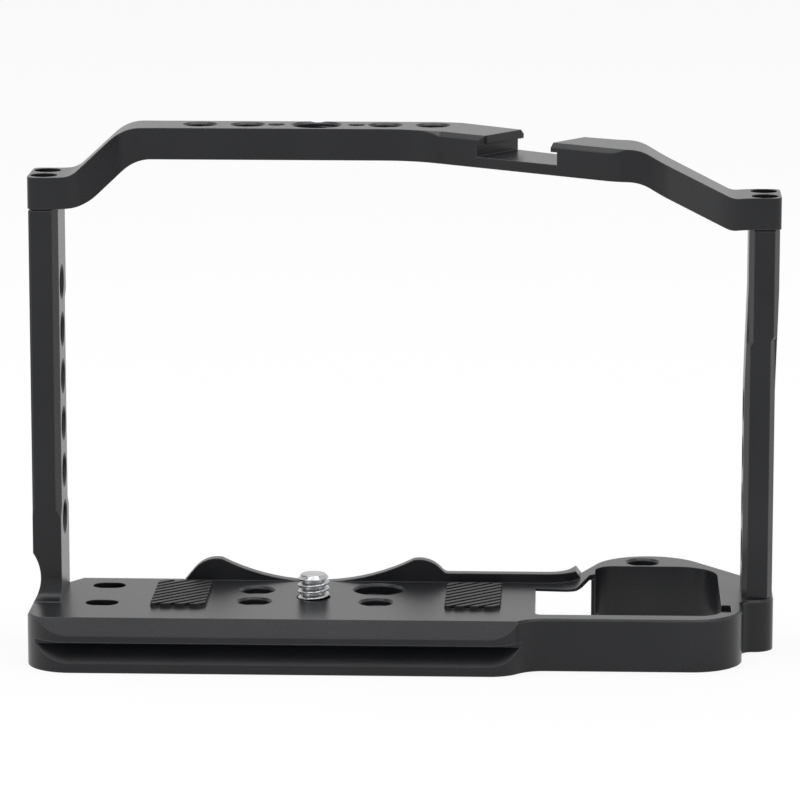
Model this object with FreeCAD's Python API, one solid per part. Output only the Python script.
import FreeCAD, Part
import math
import os
from FreeCAD import Vector

# Camera cage seen from behind the camera: +X right, +Y towards the lens, +Z up, in millimetres.
# The origin is the camera screw's axis where it leaves the seat that the camera stands on.

# Base plate
base_thickness = 10.5
base_left_x = -55.7
base_rear_y = -22.0
rail_width = 38.0
base_corner_radius = 9.0
rear_bevel_inset = 3.0
rear_bevel_drop = 3.1
front_edge_chamfer = 0.9
front_corner_offset = 2.6
front_corner_radius = 2.0
upright_foot_overlap = 0.6
left_front_radius = 0.8

# Quick-release rail along both long sides
rail_foot_height = 1.9
rail_groove_depth = 3.3
rail_neck_height = 0.9

# Grip side of the base: a rim round the battery door, a bulge and a lobe under the upright
grip_rear_setback = 5.1
grip_step_start_x = 35.5
grip_step_length = 11.0
grip_right_x = 85.2
grip_corner_radius = 10.3
lobe_rear_y = 0.1
lobe_right_x = 91.7
lobe_front_y = 15.0
lobe_fillet_radius = 2.4
lobe_rear_radius = 3.9
lobe_front_radius = 2.6
bulge_apex_x = 64.2
bulge_apex_y = 52.3
bulge_radius = 12.0
bulge_foot_x = 50.0
bulge_foot_radius = 5.0
rim_edge_chamfer = 0.4

# Battery door opening
door_left_x = 44.2
door_rear_wall = 3.7
door_right_wall = 4.1
door_front_y = 29.9
door_bulge_left_x = 56.2
door_small_radius = 1.5
door_rear_radius = 4.5
door_front_radius = 8.0
bridge_thickness = 1.1
bridge_edge_thickness = 0.6
bridge_width = 5.5
bridge_lean = 2.9
bridge_step = 1.2
bridge_step_rise = 0.7
bridge_step_fall = 0.5
bridge_corner_radius = 1.0
bridge_bend_radius = 2.5
bridge_end_rise = 1.2
under_bridge_reach = 3.0

# Lip on the lens side that stops the camera turning
lip_thickness = 2.2
lip_height = 1.9
lip_crown_x = 22.3
lip_crown_height = 5.6
lip_crown_radius = 6.0
lip_inner_x = 17.5
lip_inner_height = 3.95
lip_start_x = -26.9
lip_step_x = 25.9
lip_step_radius = 1.5
lip_end_x = 53.6
lip_end_slope = 1.3
lip_end_drop = 0.5
lens_relief_radius = 43.0
lens_relief_dip = 0.1

# Uprights
left_upright_thickness = 5.7
left_upright_rear_y = -3.1
left_upright_depth = 14.2
left_upright_height = 78.3
right_upright_thickness = 6.05
right_upright_rear_y = 1.9
right_upright_depth = 12.8
right_end_drop = 4.0
right_upright_inner_x = 85.35
right_upright_crank = 0.55
crank_start_z = 42.0
crank_end_z = 62.0
crank_radius = 60.0
upright_chamfer_x = 1.0
upright_chamfer_y = 2.0
outer_chamfer = 0.4
left_chamfer_start_z = 16.5
right_chamfer_start_z = -3.0
front_chamfer_top_drop = 18.0
upright_end_chamfer = 0.35
chamfer_runout = 1.6
runout_share = 0.04
foot_fillet_radius = 4.0
outer_relief_radius = 9.1
outer_relief_depth = 1.5
outer_relief_z = 4.2

# Top bar
bar_thickness = 6.3
bar_end_overhang = 0.25
plateau_rise = 8.2
plateau_rear_y = 10.0
plateau_depth = 11.2
plateau_bend_x = 19.3
plateau_front_bend_x = 29.0
shoe_turn_x = 64.3
shoe_turn_rear_y = -21.3
shoe_turn_depth = 13.4
left_slope_foot_x = -47.4
left_slope_top_x = -38.2
right_slope_top_x = 64.1
right_slope_foot_x = 82.6
lower_left_shift = 2.4
lower_right_shift = 0.4
rear_left_foot_x = -48.4
rear_left_turn_x = -36.2
front_left_foot_x = -49.4
front_left_turn_x = -37.6
rear_right_foot_x = 83.6
front_right_foot_x = 84.0
slope_radius = 8.0
bar_bend_radius = 9.0
bar_corner_radius = 1.6
bar_edge_chamfer = 0.9
rear_bevel_fade = 6.5
front_bevel_fade = 4.0
front_bevel_end = 8.5

# Cold shoe cut across the bar
shoe_x = 44.05
shoe_y = 0.9
shoe_turn_degrees = -36.2
shoe_width = 19.3
shoe_lip_overhang = 1.5
shoe_lip_thickness = 1.75
shoe_slot_height = 2.45
shoe_corner_radius = 1.6

# Threaded holes, with bores at the thread's outer size
quarter_hole_diameter = 6.35
three_eighth_hole_diameter = 9.525
hole_chamfer = 0.45
hole_pitch = 9.525
locating_hole_diameter = 3.3
locating_hole_offset = 8.0
plateau_hole_y = 16.2
plateau_inner_hole_x = 13.7
left_upright_hole_count = 6
left_upright_first_hole_z = 15.2
right_upright_hole_count = 4
right_upright_first_hole_z = 9.5
left_base_hole_x = -11.6
right_base_hole_x = 12.7
base_rear_hole_y = -3.9
base_front_hole_y = 5.7
large_base_hole_y = 7.1
bulge_hole_x = 66.0
bulge_hole_y = 33.9
strap_slot_x = -41.7
strap_slot_rear_y = -6.4
strap_slot_front_y = 8.6
strap_slot_length = 6.6
strap_slot_width = 4.8
rim_pocket_x = 82.0
rim_pocket_y = -7.0
rim_pocket_length = 6.2
rim_pocket_width = 1.9
rim_pocket_depth = 1.4
rim_pocket_radius = 0.5

# Socket cap screws that join bar, uprights and base
cap_head_diameter = 5.0
cap_head_height = 2.6
cap_head_chamfer = 0.25
cap_shank_diameter = 3.0
cap_tip_chamfer = 0.4
cap_socket_width = 2.5
cap_socket_depth = 1.4
cap_length = 12.0
cap_spacing = 6.9
cap_head_clearance = 0.2
cap_sink_depth = 3.6
fastener_gap = 0.05

# Camera screw and its washer
screw_diameter = 6.35
screw_neck_diameter = 4.7
screw_reach = 4.8
screw_tip_chamfer = 0.7
screw_thread_start_z = 0.0
screw_head_diameter = 13.4
screw_head_height = 2.4
screw_head_chamfer = 0.3
screw_slot_width = 1.6
screw_slot_depth = 1.2
screw_socket_width = 4.0
screw_travel = 2.0
screw_bore_gap = 0.25
screw_web_thickness = 2.6
washer_thickness = 0.8
washer_gap = 0.1
washer_bore_gap = 0.06
head_recess_gap = 0.6

# Ribbed rubber pads
pad_width = 10.9
pad_length = 20.6
pad_left_x = -26.4
pad_right_x = 31.9
pad_y = 0.6
pad_recess_depth = 0.7
pad_base_height = 0.1
pad_rib_height = 0.65
pad_rib_pitch = 1.95
pad_rib_width = 1.05
pad_rib_degrees = 42.0
pad_corner_radius = 1.0
pad_gap = 0.05

# Lengths that follow from the sizes above
seat_z = 0.0
right_upright_height = left_upright_height - right_end_drop
bar_plateau_z = left_upright_height + plateau_rise
base_bottom_z = seat_z - base_thickness
base_front_y = base_rear_y + rail_width
rail_foot_top_z = base_bottom_z + rail_foot_height
rail_neck_low_z = rail_foot_top_z + rail_groove_depth
rail_neck_high_z = rail_neck_low_z + rail_neck_height
grip_rear_y = base_rear_y + grip_rear_setback
left_upright_inner_x = base_left_x + left_upright_thickness
left_upright_front_y = left_upright_rear_y + left_upright_depth
left_upright_mid_x = base_left_x + left_upright_thickness / 2
left_upright_mid_y = left_upright_rear_y + left_upright_depth / 2
right_upright_outer_x = right_upright_inner_x + right_upright_thickness
right_upright_front_y = right_upright_rear_y + right_upright_depth
right_upright_top_outer_x = right_upright_outer_x + right_upright_crank
right_upright_foot_mid_x = right_upright_inner_x + right_upright_thickness / 2
right_upright_top_mid_x = right_upright_foot_mid_x + right_upright_crank
right_upright_mid_y = right_upright_rear_y + right_upright_depth / 2
bar_left_low_z = left_upright_height
bar_right_low_z = right_upright_height
bar_plateau_top_z = bar_plateau_z + bar_thickness
plateau_outer_hole_x = plateau_inner_hole_x + hole_pitch
shoe_floor_z = bar_plateau_top_z - shoe_lip_thickness - shoe_slot_height
overlap = 1.0
far_out = 200.0
tolerance = 0.01
largest_arc_share = 0.98


def corner_arc(before, corner, after, radius):
    """Tangent points and middle point of the arc that rounds one corner of an outline."""
    into = (before - corner).normalize()
    out = (after - corner).normalize()
    half_angle = math.acos(max(-1.0, min(1.0, into.dot(out)))) / 2
    reach = radius / math.tan(half_angle)
    bisector = (into + out).normalize()
    middle = corner + bisector * (radius / math.sin(half_angle) - radius)
    return corner + into * reach, middle, corner + out * reach


def rounded_face(corners, place):
    """Flat face through (a, b, radius) corners, each rounded by its own radius."""
    points = [place(a, b) for a, b, radius in corners]
    edges = []
    count = len(points)
    arcs = []
    for index in range(count):
        radius = corners[index][2]
        point = points[index]
        if radius > 0:
            arcs.append(corner_arc(points[index - 1], point, points[(index + 1) % count], radius))
        else:
            arcs.append((point, None, point))
    for index in range(count):
        start, middle, end = arcs[index]
        if middle is not None:
            edges.append(Part.Arc(start, middle, end).toShape())
        following = arcs[(index + 1) % count][0]
        if (following - end).Length > tolerance / 100:
            edges.append(Part.LineSegment(end, following).toShape())
    return Part.Face(Part.Wire(edges))


def plan_solid(corners, low_z, high_z):
    """Solid with an outline seen from above, between two heights."""
    face = rounded_face(corners, lambda x, y: Vector(x, y, low_z))
    return face.extrude(Vector(0, 0, high_z - low_z))


def side_solid(corners, low_y, high_y):
    """Solid with an outline seen from behind, in x and z, between two depths."""
    face = rounded_face(corners, lambda x, z: Vector(x, low_y, z))
    return face.extrude(Vector(0, high_y - low_y, 0))


def end_solid(corners, low_x, high_x):
    """Solid with an outline seen from the side, in y and z, between two places along x."""
    face = rounded_face(corners, lambda y, z: Vector(low_x, y, z))
    return face.extrude(Vector(high_x - low_x, 0, 0))


def box(low_x, high_x, low_y, high_y, low_z, high_z):
    """Box between two corners."""
    return Part.makeBox(high_x - low_x, high_y - low_y, high_z - low_z, Vector(low_x, low_y, low_z))


def edges_where(solid, test):
    """Edges of a solid whose middle point passes a test."""
    chosen = []
    for edge in solid.Edges:
        if test(edge.valueAt((edge.FirstParameter + edge.LastParameter) / 2)):
            chosen.append(edge)
    return chosen


def through_hole(start, axis, diameter, length, chamfer):
    """Cutter for a straight hole with a countersunk mouth at each end."""
    radius = diameter / 2
    wide = radius + chamfer + overlap
    cut = Part.makeCylinder(radius, length + 2 * overlap, start - axis * overlap, axis)
    near_mouth = Part.makeCone(wide, radius, chamfer + overlap, start - axis * overlap, axis)
    end = start + axis * length
    far_mouth = Part.makeCone(wide, radius, chamfer + overlap, end + axis * overlap, axis * -1)
    return cut.fuse([near_mouth, far_mouth])


def hexagon_cutter(x, y, width, low_z, high_z):
    """Upright hexagonal prism with the given width across its flats."""
    corner_radius = width / math.sqrt(3)
    points = []
    for step in range(7):
        angle = math.radians(60 * step)
        points.append(Vector(x + corner_radius * math.cos(angle), y + corner_radius * math.sin(angle), low_z))
    return Part.Face(Part.makePolygon(points)).extrude(Vector(0, 0, high_z - low_z))


def corner_chamfer(x, y, inward_x, inward_y, low_z, high_z, reach_x, reach_y):
    """Cutter that bevels one vertical edge and runs out softly at both ends."""
    sections = []
    heights = [low_z, low_z + chamfer_runout, high_z - chamfer_runout, high_z]
    for height, share in zip(heights, [runout_share, 1.0, 1.0, runout_share]):
        start = Vector(x - inward_x * overlap, y - inward_y * overlap, height)
        along_x = Vector(x + inward_x * reach_x * share, y - inward_y * overlap, height)
        on_x = Vector(x + inward_x * reach_x * share, y, height)
        on_y = Vector(x, y + inward_y * reach_y * share, height)
        along_y = Vector(x - inward_x * overlap, y + inward_y * reach_y * share, height)
        sections.append(Part.makePolygon([start, along_x, on_x, on_y, along_y, start]))
    return Part.makeLoft(sections, True, True)


def cap_screw(x, y, head_low_z, facing):
    """Socket cap screw; facing is 1 when the head points up and -1 when it points down."""
    axis = Vector(0, 0, facing)
    seat = Vector(x, y, head_low_z)
    head = Part.makeCylinder(cap_head_diameter / 2, cap_head_height, seat, axis)
    head_end_z = head_low_z + facing * cap_head_height
    rim = [edge for edge in head.Edges if abs(edge.CenterOfMass.z - head_end_z) < tolerance]
    head = head.makeChamfer(cap_head_chamfer, rim)
    shank = Part.makeCylinder(cap_shank_diameter / 2, cap_length, seat, axis * -1)
    shank_end_z = head_low_z - facing * cap_length
    tip = [edge for edge in shank.Edges if abs(edge.CenterOfMass.z - shank_end_z) < tolerance]
    shank = shank.makeChamfer(cap_tip_chamfer, tip)
    socket_floor_z = head_end_z - facing * cap_socket_depth
    low_z = min(socket_floor_z, head_end_z + facing * overlap)
    high_z = max(socket_floor_z, head_end_z + facing * overlap)
    return head.fuse(shank).cut(hexagon_cutter(x, y, cap_socket_width, low_z, high_z)).removeSplitter()


def cap_screw_hole(x, y, face_z, facing):
    """Cutter for a cap screw: a counterbore sunk from face_z and a close hole for the shank."""
    axis = Vector(0, 0, -facing)
    mouth = Vector(x, y, face_z + facing * overlap)
    head_radius = cap_head_diameter / 2 + cap_head_clearance
    counterbore = Part.makeCylinder(head_radius, cap_sink_depth + overlap, mouth, axis)
    shank_radius = cap_shank_diameter / 2 + fastener_gap
    shank_room = cap_sink_depth + cap_length + overlap + cap_head_clearance
    shank_hole = Part.makeCylinder(shank_radius, shank_room, mouth, axis)
    return counterbore.fuse(shank_hole)


def cap_places(mid_x, mid_y):
    """Plan positions of the two cap screws at one end of a bar or upright."""
    return [("rear", mid_x, mid_y - cap_spacing / 2), ("front", mid_x, mid_y + cap_spacing / 2)]


def base_outline():
    """Corners of the base plate seen from above, going round from the rear left."""
    step_end_x = grip_step_start_x + grip_step_length
    step_radius = (grip_step_length ** 2 + grip_rear_setback ** 2) / (4 * grip_rear_setback)
    step_reach = step_radius * math.tan(math.atan2(grip_rear_setback, grip_step_length))
    step_radius_used = step_radius * largest_arc_share
    return [
        (base_left_x, base_rear_y, base_corner_radius),
        (grip_step_start_x + step_reach, base_rear_y, step_radius_used),
        (step_end_x - step_reach, grip_rear_y, step_radius_used),
        (grip_right_x, grip_rear_y, grip_corner_radius),
        (grip_right_x, lobe_rear_y, lobe_fillet_radius),
        (lobe_right_x, lobe_rear_y, lobe_rear_radius),
        (lobe_right_x, lobe_front_y, lobe_front_radius),
        (bulge_apex_x, bulge_apex_y, bulge_radius),
        (bulge_foot_x, base_front_y, bulge_foot_radius),
        (left_upright_inner_x + front_corner_offset, base_front_y, front_corner_radius),
        (left_upright_inner_x - upright_foot_overlap, left_upright_front_y, upright_foot_overlap),
        (base_left_x, left_upright_front_y, left_front_radius),
    ]


def door_outline():
    """Corners of the battery door opening seen from above."""
    rear_y = grip_rear_y + door_rear_wall
    right_x = grip_right_x - door_right_wall
    bulge_side_y = door_front_y - door_front_radius
    bridge_x = door_bulge_left_x - bridge_step
    bridge_rear_y = base_front_y - lip_thickness - bridge_width
    return [
        (door_left_x, rear_y, door_small_radius),
        (right_x, rear_y, door_rear_radius),
        (right_x, door_front_y, door_front_radius),
        (door_bulge_left_x, door_front_y, door_front_radius / 2),
        (door_bulge_left_x, bulge_side_y + bridge_step_rise, 0),
        (bridge_x, bulge_side_y - bridge_step_fall, bridge_corner_radius),
        (bridge_x - bridge_lean, bridge_rear_y, bridge_bend_radius),
        (door_left_x, bridge_rear_y + bridge_end_rise, 0),
    ]


def base_plate_blank():
    """Base plate with its outline, edge bevels and quick-release rail."""
    plate = plan_solid(base_outline(), base_bottom_z, seat_z)

    def round_the_grip(point):
        return abs(point.z - seat_z) < tolerance and point.x > grip_step_start_x + grip_step_length

    plate = plate.makeChamfer(rim_edge_chamfer, edges_where(plate, round_the_grip))
    bevel = end_solid([
        (base_rear_y - overlap, seat_z - rear_bevel_drop - overlap * rear_bevel_drop / rear_bevel_inset, 0),
        (base_rear_y + rear_bevel_inset + overlap, seat_z + overlap * rear_bevel_drop / rear_bevel_inset, 0),
        (base_rear_y - overlap, seat_z + overlap * rear_bevel_drop / rear_bevel_inset, 0),
    ], base_left_x - overlap, door_left_x)
    front_bevel = end_solid([
        (base_front_y + overlap, seat_z - front_edge_chamfer - overlap, 0),
        (base_front_y - front_edge_chamfer - overlap, seat_z + overlap, 0),
        (base_front_y + overlap, seat_z + overlap, 0),
    ], base_left_x - overlap, door_left_x)
    plate = plate.cut([bevel, front_bevel])
    rear_neck_y = base_rear_y + rail_groove_depth
    front_neck_y = base_front_y - rail_groove_depth
    rear_groove = end_solid([
        (base_rear_y - overlap, rail_foot_top_z - overlap, 0),
        (rear_neck_y, rail_neck_low_z, 0),
        (rear_neck_y, rail_neck_high_z, 0),
        (base_rear_y - overlap, rail_neck_high_z, 0),
    ], base_left_x - overlap, far_out)
    front_groove = end_solid([
        (base_front_y + overlap, rail_foot_top_z - overlap, 0),
        (base_front_y + overlap, rail_neck_high_z, 0),
        (front_neck_y, rail_neck_high_z, 0),
        (front_neck_y, rail_neck_low_z, 0),
    ], left_upright_inner_x + front_corner_offset, door_left_x)
    return plate.cut([rear_groove, front_groove])


def battery_door_cut():
    """Cutter for the battery door opening and the thin bridge beside it."""
    opening = plan_solid(door_outline(), base_bottom_z - overlap, seat_z + overlap)
    under_low_z = base_bottom_z - overlap
    bridge_inner_y = base_front_y - bridge_width - under_bridge_reach
    lip_middle_y = base_front_y - lip_thickness / 2
    thinning = (bridge_thickness - bridge_edge_thickness) / bridge_width * (lip_middle_y - bridge_inner_y)
    under_bridge = end_solid([
        (bridge_inner_y, under_low_z, 0),
        (door_front_y, under_low_z, 0),
        (door_front_y, seat_z - bridge_thickness, 0),
        (lip_middle_y, seat_z - bridge_thickness, 0),
        (bridge_inner_y, seat_z - bridge_thickness + thinning, 0),
    ], door_left_x, door_bulge_left_x)
    return opening.fuse(under_bridge)


def lens_side_lip():
    """Low wall on the lens side with two bumps and a round relief under the lens."""
    bulge_slope = (bulge_apex_y - base_front_y) / (bulge_apex_x - bulge_foot_x)
    run = math.sqrt(1 + bulge_slope ** 2)
    inner_shift_x = lip_thickness * run / bulge_slope
    inner_foot_x = bulge_foot_x + inner_shift_x - lip_thickness / bulge_slope
    top_y = door_front_y
    band = plan_solid([
        (lip_start_x - overlap, base_front_y - lip_thickness, 0),
        (inner_foot_x, base_front_y - lip_thickness, bulge_foot_radius + lip_thickness),
        (inner_foot_x + (top_y - base_front_y + lip_thickness) / bulge_slope, top_y, 0),
        (bulge_foot_x + (top_y - base_front_y) / bulge_slope, top_y, 0),
        (bulge_foot_x, base_front_y, bulge_foot_radius),
        (lip_start_x - overlap, base_front_y, 0),
    ], seat_z - bridge_thickness, seat_z + lip_crown_height + overlap)
    profile = side_solid([
        (lip_start_x, seat_z, 0),
        (-lip_crown_x, seat_z + lip_crown_height, lip_crown_radius),
        (-lip_inner_x, seat_z + lip_inner_height, 0),
        (lip_inner_x, seat_z + lip_inner_height, 0),
        (lip_crown_x, seat_z + lip_crown_height, lip_crown_radius),
        (lip_step_x, seat_z + lip_height, lip_step_radius),
        (lip_end_x - lip_end_slope, seat_z + lip_height, 0),
        (lip_end_x, seat_z - lip_end_drop, 0),
        (lip_end_x, seat_z - bridge_thickness, 0),
        (lip_start_x, seat_z - bridge_thickness, 0),
    ], base_front_y - lip_thickness - overlap, top_y + overlap)
    lip = band.common(profile)
    relief_z = seat_z - lens_relief_dip + lens_relief_radius
    relief_start = Vector(0, base_front_y - lip_thickness - overlap, relief_z)
    relief = Part.makeCylinder(lens_relief_radius, far_out, relief_start, Vector(0, 1, 0))
    return lip, relief


def make_left_upright():
    """Left upright with bevelled edges, tapped holes and a relief at its foot."""
    upright = box(base_left_x, left_upright_inner_x, left_upright_rear_y, left_upright_front_y,
                  seat_z, left_upright_height)
    top_edges = edges_where(upright, lambda point: abs(point.z - left_upright_height) < tolerance)
    upright = upright.makeChamfer(upright_end_chamfer, top_edges)
    front_top_z = left_upright_height - front_chamfer_top_drop
    cutters = []
    for x, inward_x, reach_x, reach_y in (
        (base_left_x, 1, outer_chamfer, outer_chamfer),
        (left_upright_inner_x, -1, upright_chamfer_x, upright_chamfer_y),
    ):
        cutters.append(corner_chamfer(x, left_upright_rear_y, inward_x, 1, left_chamfer_start_z,
                                      left_upright_height + chamfer_runout, reach_x, reach_y))
        cutters.append(corner_chamfer(x, left_upright_front_y, inward_x, -1, left_chamfer_start_z,
                                      front_top_z, reach_x, reach_y))
    foot = end_solid([
        (left_upright_rear_y + overlap, seat_z, 0),
        (left_upright_rear_y + overlap, seat_z + foot_fillet_radius, 0),
        (left_upright_rear_y, seat_z + foot_fillet_radius, 0),
        (left_upright_rear_y - foot_fillet_radius, seat_z, 0),
    ], base_left_x, left_upright_inner_x)
    hollow_start = Vector(base_left_x - overlap, left_upright_rear_y - foot_fillet_radius,
                          seat_z + foot_fillet_radius)
    hollow = Part.makeCylinder(foot_fillet_radius, far_out, hollow_start, Vector(1, 0, 0))
    upright = upright.cut(cutters).fuse(foot.cut(hollow))
    cutters = [outer_relief()] + left_upright_holes()
    for name, x, y in cap_places(left_upright_mid_x, left_upright_mid_y):
        cutters.append(cap_screw_hole(x, y, left_upright_height + bar_thickness, 1))
    return upright.cut(cutters).removeSplitter()


def outer_relief():
    """Cutter for the shallow hollow in the outer face just above the base."""
    axis_x = base_left_x + outer_relief_depth - outer_relief_radius
    start = Vector(axis_x, left_upright_rear_y - far_out / 2, outer_relief_z)
    return Part.makeCylinder(outer_relief_radius, far_out, start, Vector(0, 1, 0))


def left_upright_holes():
    """Cutters for the row of tapped holes in the left upright."""
    holes = []
    for index in range(left_upright_hole_count):
        start = Vector(base_left_x, left_upright_mid_y, left_upright_first_hole_z + index * hole_pitch)
        holes.append(through_hole(start, Vector(1, 0, 0), quarter_hole_diameter, left_upright_thickness,
                                  hole_chamfer))
    return holes


def base_holes():
    """Cutters for the tapped holes, strap slots and small pocket in the base."""
    up = Vector(0, 0, 1)
    holes = []
    for x, y, diameter in (
        (left_base_hole_x, base_rear_hole_y, quarter_hole_diameter),
        (left_base_hole_x, base_front_hole_y, quarter_hole_diameter),
        (right_base_hole_x, base_rear_hole_y, quarter_hole_diameter),
        (right_base_hole_x, large_base_hole_y, three_eighth_hole_diameter),
        (bulge_hole_x, bulge_hole_y, quarter_hole_diameter),
    ):
        holes.append(through_hole(Vector(x, y, base_bottom_z), up, diameter, base_thickness, hole_chamfer))
    half_length = strap_slot_length / 2
    half_width = strap_slot_width / 2
    for y in (strap_slot_rear_y, strap_slot_front_y):
        holes.append(plan_solid([
            (strap_slot_x - half_length, y - half_width, half_width * largest_arc_share),
            (strap_slot_x + half_length, y - half_width, half_width * largest_arc_share),
            (strap_slot_x + half_length, y + half_width, half_width * largest_arc_share),
            (strap_slot_x - half_length, y + half_width, half_width * largest_arc_share),
        ], base_bottom_z - overlap, seat_z + overlap))
    half_pocket = rim_pocket_width / 2
    holes.append(plan_solid([
        (rim_pocket_x - half_pocket, rim_pocket_y - rim_pocket_length / 2, rim_pocket_radius),
        (rim_pocket_x + half_pocket, rim_pocket_y - rim_pocket_length / 2, rim_pocket_radius),
        (rim_pocket_x + half_pocket, rim_pocket_y + rim_pocket_length / 2, rim_pocket_radius),
        (rim_pocket_x - half_pocket, rim_pocket_y + rim_pocket_length / 2, rim_pocket_radius),
    ], seat_z - rim_pocket_depth, seat_z + overlap))
    return holes


def screw_well():
    """Cutter for the camera screw: head recess, web bore and room for the thread above it."""
    recess_top_z = screw_web_low_z()
    recess_radius = screw_head_diameter / 2 + head_recess_gap
    web_radius = screw_neck_diameter / 2 + screw_bore_gap
    thread_radius = screw_diameter / 2 + screw_bore_gap
    bottom = Vector(0, 0, base_bottom_z - overlap)
    web_top = Vector(0, 0, recess_top_z + screw_web_thickness)
    recess = Part.makeCylinder(recess_radius, recess_top_z - base_bottom_z + overlap, bottom)
    web_bore = Part.makeCylinder(web_radius, far_out, bottom)
    thread_room = Part.makeCylinder(thread_radius, far_out, web_top)
    return recess.fuse([web_bore, thread_room])


def screw_web_low_z():
    """Height of the underside of the web that holds the camera screw captive."""
    return screw_thread_start_z - screw_travel - washer_gap - screw_web_thickness


def pad_outline(x, clearance):
    """Corners of a pad, or of its recess when a clearance is given."""
    half_width = pad_width / 2 + clearance
    half_length = pad_length / 2 + clearance
    return [
        (x - half_width, pad_y - half_length, pad_corner_radius),
        (x + half_width, pad_y - half_length, pad_corner_radius),
        (x + half_width, pad_y + half_length, pad_corner_radius),
        (x - half_width, pad_y + half_length, pad_corner_radius),
    ]


def make_base_plate():
    """Base plate with its rail, lip, battery door opening and holes."""
    plate = base_plate_blank().cut(battery_door_cut())
    lip, relief = lens_side_lip()
    cutters = [relief, outer_relief(), screw_well()] + base_holes()
    for x in (pad_left_x, pad_right_x):
        cutters.append(plan_solid(pad_outline(x, pad_gap), seat_z - pad_recess_depth, seat_z + overlap))
    for name, x, y in cap_places(right_upright_foot_mid_x, right_upright_mid_y):
        cutters.append(cap_screw_hole(x, y, base_bottom_z, -1))
    return plate.fuse(lip).cut(cutters).removeSplitter()


def make_right_upright():
    """Right upright, a separate bar with a small crank, screwed to the base and the top bar."""
    inner = right_upright_inner_x
    outer = right_upright_outer_x
    upright = side_solid([
        (inner, seat_z, 0),
        (outer, seat_z, 0),
        (outer, crank_start_z, crank_radius),
        (outer + right_upright_crank, crank_end_z, crank_radius),
        (outer + right_upright_crank, right_upright_height, 0),
        (inner + right_upright_crank, right_upright_height, 0),
        (inner + right_upright_crank, crank_end_z, crank_radius),
        (inner, crank_start_z, crank_radius),
    ], right_upright_rear_y, right_upright_front_y)
    cutters = []
    low_end_z = (crank_start_z + crank_end_z) / 2
    top_z = right_upright_height + chamfer_runout
    top_edges = edges_where(upright, lambda point: abs(point.z - right_upright_height) < tolerance)
    upright = upright.makeChamfer(upright_end_chamfer, top_edges)
    for x, inward_x in ((inner, 1), (outer, -1)):
        for y, inward_y in ((right_upright_rear_y, 1), (right_upright_front_y, -1)):
            for shift, low_z, high_z in (
                (0, right_chamfer_start_z, low_end_z + chamfer_runout),
                (right_upright_crank, low_end_z - chamfer_runout, top_z),
            ):
                cutters.append(corner_chamfer(x + shift, y, inward_x, inward_y, low_z, high_z,
                                              upright_chamfer_x, upright_chamfer_y))
    for index in range(right_upright_hole_count):
        start = Vector(inner, right_upright_mid_y, right_upright_first_hole_z + index * hole_pitch)
        cutters.append(through_hole(start, Vector(1, 0, 0), quarter_hole_diameter, right_upright_thickness,
                                    hole_chamfer))
    for name, x, y in cap_places(right_upright_foot_mid_x, right_upright_mid_y):
        cutters.append(cap_screw_hole(x, y, base_bottom_z, -1))
    for name, x, y in cap_places(right_upright_top_mid_x, right_upright_mid_y):
        cutters.append(cap_screw_hole(x, y, right_upright_height + bar_thickness, 1))
    return upright.cut(cutters).removeSplitter()


def bar_plan():
    """Corners of the top bar seen from above: along its rear edge, then back along its front edge."""
    left_x = base_left_x - bar_end_overhang
    right_x = right_upright_top_outer_x + bar_end_overhang
    plateau_front_y = plateau_rear_y + plateau_depth
    left_rear_y = left_upright_rear_y
    right_rear_y = right_upright_rear_y
    return [
        (left_x, left_rear_y, bar_corner_radius),
        (rear_left_foot_x, left_rear_y, bar_bend_radius),
        (rear_left_turn_x, plateau_rear_y, bar_bend_radius),
        (plateau_bend_x, plateau_rear_y, 2 * bar_bend_radius),
        (shoe_turn_x, shoe_turn_rear_y, bar_bend_radius),
        (rear_right_foot_x, right_rear_y, bar_bend_radius),
        (right_x, right_rear_y, bar_corner_radius),
        (right_x, right_upright_front_y, bar_corner_radius),
        (front_right_foot_x, right_upright_front_y, bar_bend_radius),
        (shoe_turn_x, shoe_turn_rear_y + shoe_turn_depth, bar_bend_radius),
        (plateau_front_bend_x, plateau_front_y, 2 * bar_bend_radius),
        (front_left_turn_x, plateau_front_y, bar_bend_radius),
        (front_left_foot_x, left_upright_front_y, bar_bend_radius / 2),
        (left_x, left_upright_front_y, bar_corner_radius),
    ]


def bar_profile():
    """Corners of the top bar seen from behind: along its underside, then back along its top."""
    left_x = base_left_x - bar_end_overhang
    right_x = right_upright_top_outer_x + bar_end_overhang
    return [
        (left_x, bar_left_low_z, 0),
        (left_slope_foot_x + lower_left_shift, bar_left_low_z, slope_radius),
        (left_slope_top_x + lower_left_shift, bar_plateau_z, slope_radius),
        (right_slope_top_x, bar_plateau_z, slope_radius),
        (right_slope_foot_x - lower_right_shift, bar_right_low_z, slope_radius / 2),
        (right_x, bar_right_low_z, 0),
        (right_x, bar_right_low_z + bar_thickness, 0),
        (right_slope_foot_x, bar_right_low_z + bar_thickness, slope_radius / 2),
        (right_slope_top_x, bar_plateau_top_z, slope_radius),
        (left_slope_top_x, bar_plateau_top_z, slope_radius),
        (left_slope_foot_x, bar_left_low_z + bar_thickness, slope_radius / 2),
        (left_x, bar_left_low_z + bar_thickness, 0),
    ]


def cold_shoe_cut():
    """Cutter for the accessory shoe, square across the slanted part of the bar."""
    reach = 4 * plateau_depth
    half_width = shoe_width / 2
    half_gap = half_width - shoe_lip_overhang
    slot_top_z = shoe_floor_z + shoe_slot_height
    slot = box(-half_width, half_width, -reach / 2, reach / 2, shoe_floor_z, slot_top_z)
    gap = box(-half_gap, half_gap, -reach / 2, reach / 2, shoe_floor_z, bar_plateau_top_z + overlap)
    cutter = slot.fuse(gap)
    cutter.rotate(Vector(0, 0, 0), Vector(0, 0, 1), shoe_turn_degrees)
    cutter.translate(Vector(shoe_x, shoe_y, 0))
    return cutter


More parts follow.
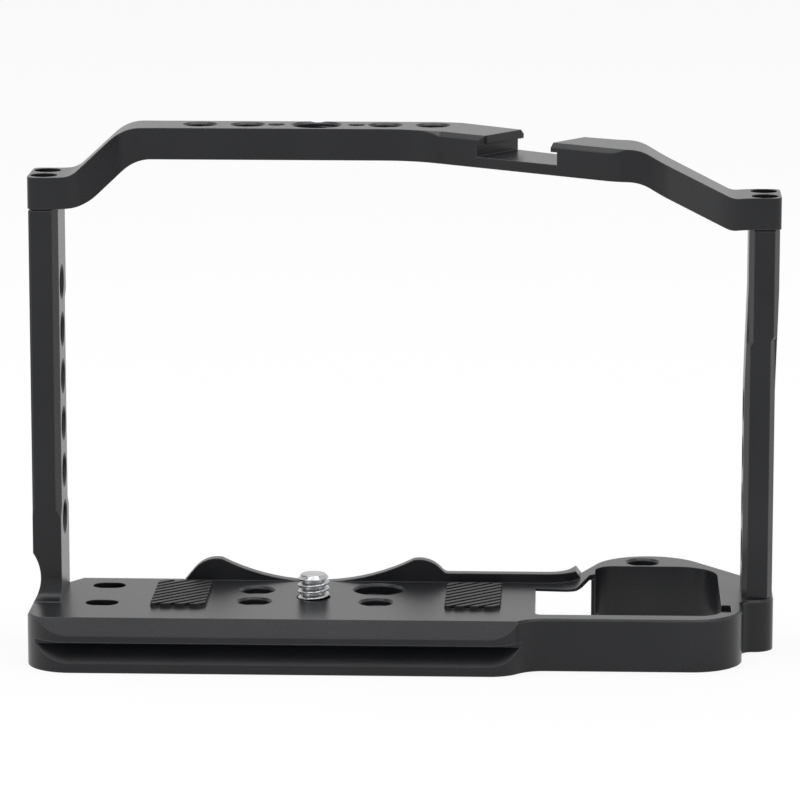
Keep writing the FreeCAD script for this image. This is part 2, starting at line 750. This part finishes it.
def slanted_rear_edge():
    """Start, end and inward direction of the rear edge of the bar's slanted part, seen from above."""
    start = Vector(plateau_bend_x, plateau_rear_y, 0)
    end = Vector(shoe_turn_x, shoe_turn_rear_y, 0)
    return start, end, Vector(start.y - end.y, end.x - start.x, 0).normalize()


def slanted_front_edge():
    """Start, end and inward direction of the front edge of the bar's slanted part, seen from above."""
    start = Vector(plateau_front_bend_x, plateau_rear_y + plateau_depth, 0)
    end = Vector(shoe_turn_x, shoe_turn_rear_y + shoe_turn_depth, 0)
    return start, end, Vector(end.y - start.y, start.x - end.x, 0).normalize()


def slanted_bevel(edge, stations):
    """Cutter for the bevel along one top edge of the bar's slanted part.

    Each station is a distance along the edge and the bevel's width there. A width below zero keeps the
    cutter clear of the edge, so that the bevel fades in or out where the edge bends.
    """
    start, end, inward = edge
    run = (end - start).normalize()
    rise = Vector(0, 0, overlap)
    sections = []
    for distance, width in stations:
        place = start + run * distance + Vector(0, 0, bar_plateau_top_z)
        outside = place - inward * overlap
        foot = outside - rise * (1 + width / overlap)
        corners = [place + inward * (width + overlap) + rise, foot, outside + rise]
        sections.append(Part.makePolygon(corners + corners[:1]))
    return Part.makeLoft(sections, True, True)


def slanted_bevels():
    """Cutters for the bevels along both top edges of the bar's slanted part."""
    rear = slanted_rear_edge()
    front = slanted_front_edge()
    rear_length = (rear[1] - rear[0]).Length
    front_length = (front[1] - front[0]).Length
    fade_out = front_length - front_bevel_end
    return [
        slanted_bevel(rear, [(0, -bar_edge_chamfer), (rear_bevel_fade, bar_edge_chamfer),
                             (rear_length, bar_edge_chamfer)]),
        slanted_bevel(front, [(0, bar_edge_chamfer), (fade_out - front_bevel_fade, bar_edge_chamfer),
                              (fade_out, -tolerance)]),
    ]


def shoe_corner_cut():
    """Cutter that rounds the shoe's lip where the gap runs out through the bar's rear edge."""
    start, end, inward = slanted_rear_edge()
    run = (end - start).normalize()
    turn = math.radians(shoe_turn_degrees)
    along = Vector(-math.sin(turn), math.cos(turn), 0)
    across = Vector(math.cos(turn), math.sin(turn), 0)
    lip_point = Vector(shoe_x, shoe_y, 0) - across * (shoe_width / 2 - shoe_lip_overhang)
    distance = (lip_point - start).cross(along).z / run.cross(along).z
    corner = start + run * distance
    first, middle, last = corner_arc(corner - run, corner, corner + along, shoe_corner_radius)
    outside = corner + (run - along).normalize() * overlap
    edges = [Part.Arc(first, middle, last), Part.LineSegment(last, outside), Part.LineSegment(outside, first)]
    face = Part.Face(Part.Wire([edge.toShape() for edge in edges]))
    face.translate(Vector(0, 0, shoe_floor_z + shoe_slot_height))
    return face.extrude(Vector(0, 0, shoe_lip_thickness + overlap))


def make_top_bar():
    """Top bar with its plateau, accessory shoe and screwed ends."""
    low_z = bar_right_low_z - overlap
    high_z = bar_plateau_top_z + overlap
    plan = plan_solid(bar_plan(), low_z, high_z)
    profile = side_solid(bar_profile(), -far_out, far_out)
    bar = plan.common(profile)
    cutters = [cold_shoe_cut(), shoe_corner_cut()] + slanted_bevels()
    up = Vector(0, 0, 1)
    for side in (-1, 1):
        for x in (plateau_inner_hole_x, plateau_outer_hole_x):
            start = Vector(side * x, plateau_hole_y, bar_plateau_z)
            cutters.append(through_hole(start, up, quarter_hole_diameter, bar_thickness, hole_chamfer))
        start = Vector(side * locating_hole_offset, plateau_hole_y, bar_plateau_z)
        cutters.append(through_hole(start, up, locating_hole_diameter, bar_thickness, hole_chamfer / 2))
    start = Vector(0, plateau_hole_y, bar_plateau_z)
    cutters.append(through_hole(start, up, three_eighth_hole_diameter, bar_thickness, hole_chamfer))
    for name, x, y in cap_places(left_upright_mid_x, left_upright_mid_y):
        cutters.append(cap_screw_hole(x, y, bar_left_low_z + bar_thickness, 1))
    for name, x, y in cap_places(right_upright_top_mid_x, right_upright_mid_y):
        cutters.append(cap_screw_hole(x, y, bar_right_low_z + bar_thickness, 1))
    return bar.cut(cutters).removeSplitter()


def make_cap_screws():
    """The six cap screws, each under its own name."""
    screws = {}
    head_seat = cap_sink_depth - fastener_gap
    for side, mid_x, mid_y, top_z in (
        ("left", left_upright_mid_x, left_upright_mid_y, bar_left_low_z + bar_thickness),
        ("right", right_upright_top_mid_x, right_upright_mid_y, bar_right_low_z + bar_thickness),
    ):
        for name, x, y in cap_places(mid_x, mid_y):
            screws["top_screw_" + side + "_" + name] = cap_screw(x, y, top_z - head_seat, 1)
    for name, x, y in cap_places(right_upright_foot_mid_x, right_upright_mid_y):
        screws["foot_screw_" + name] = cap_screw(x, y, base_bottom_z + head_seat, -1)
    return screws


def make_camera_screw():
    """Captive screw that holds the camera, with a relieved neck and a slotted head."""
    head_top_z = screw_web_low_z() - washer_thickness - 2 * washer_gap
    tip_z = seat_z + screw_reach
    head_low_z = head_top_z - screw_head_height
    head = Part.makeCylinder(screw_head_diameter / 2, screw_head_height, Vector(0, 0, head_low_z))
    head = head.makeChamfer(screw_head_chamfer, head.Edges[0:1])
    neck = Part.makeCylinder(screw_neck_diameter / 2, screw_thread_start_z - head_top_z + overlap,
                             Vector(0, 0, head_top_z - overlap))
    thread_start = Vector(0, 0, screw_thread_start_z)
    thread = Part.makeCylinder(screw_diameter / 2, tip_z - screw_thread_start_z, thread_start)
    tip = [edge for edge in thread.Edges if abs(edge.CenterOfMass.z - tip_z) < tolerance]
    thread = thread.makeChamfer(screw_tip_chamfer, tip)
    slot = box(-screw_head_diameter, screw_head_diameter, -screw_slot_width / 2, screw_slot_width / 2,
               head_low_z - overlap, head_low_z + screw_slot_depth)
    socket = hexagon_cutter(0, 0, screw_socket_width, head_low_z - overlap, head_low_z + screw_head_height)
    return head.fuse([neck, thread]).cut([slot, socket]).removeSplitter()


def make_screw_washer():
    """Thin washer that rides up and down with the camera screw."""
    low_z = screw_web_low_z() - washer_gap - washer_thickness
    washer = Part.makeCylinder(screw_head_diameter / 2, washer_thickness, Vector(0, 0, low_z))
    bore = Part.makeCylinder(screw_neck_diameter / 2 + washer_bore_gap, washer_thickness + 2 * overlap,
                             Vector(0, 0, low_z - overlap))
    return washer.cut(bore)


def make_pad(x):
    """Rubber pad with slanted ribs, set in its recess."""
    low_z = seat_z - pad_recess_depth + pad_gap
    rib_low_z = seat_z + pad_base_height
    body = plan_solid(pad_outline(x, 0), low_z, rib_low_z)
    outline = plan_solid(pad_outline(x, 0), rib_low_z - pad_base_height / 2, rib_low_z + pad_rib_height)
    reach = pad_width + pad_length
    count = int(reach / pad_rib_pitch / 2)
    ribs = []
    for index in range(-count, count + 1):
        middle = index * pad_rib_pitch
        rib = box(-reach, reach, middle - pad_rib_width / 2, middle + pad_rib_width / 2,
                  rib_low_z - pad_base_height / 2, rib_low_z + pad_rib_height)
        rib.rotate(Vector(0, 0, 0), Vector(0, 0, 1), pad_rib_degrees)
        rib.translate(Vector(x, pad_y, 0))
        ribs.append(outline.common(rib))
    return body.fuse(ribs).removeSplitter()


def main():
    """Builds every piece and writes one file for each."""
    os.makedirs("parts", exist_ok=True)
    pieces = {
        "base_plate": make_base_plate(),
        "left_upright": make_left_upright(),
        "right_upright": make_right_upright(),
        "top_bar": make_top_bar(),
        "camera_screw": make_camera_screw(),
        "camera_screw_washer": make_screw_washer(),
        "left_pad": make_pad(pad_left_x),
        "right_pad": make_pad(pad_right_x),
    }
    pieces.update(make_cap_screws())
    for name, shape in pieces.items():
        shape.exportStep("parts/" + name + ".step")
        bounds = shape.BoundBox
        print(name, "solids", len(shape.Solids), "valid", shape.isValid(), "volume", round(shape.Volume, 2))
        print("  x %.2f %.2f y %.2f %.2f z %.2f %.2f" % (
            bounds.XMin, bounds.XMax, bounds.YMin, bounds.YMax, bounds.ZMin, bounds.ZMax))


main()
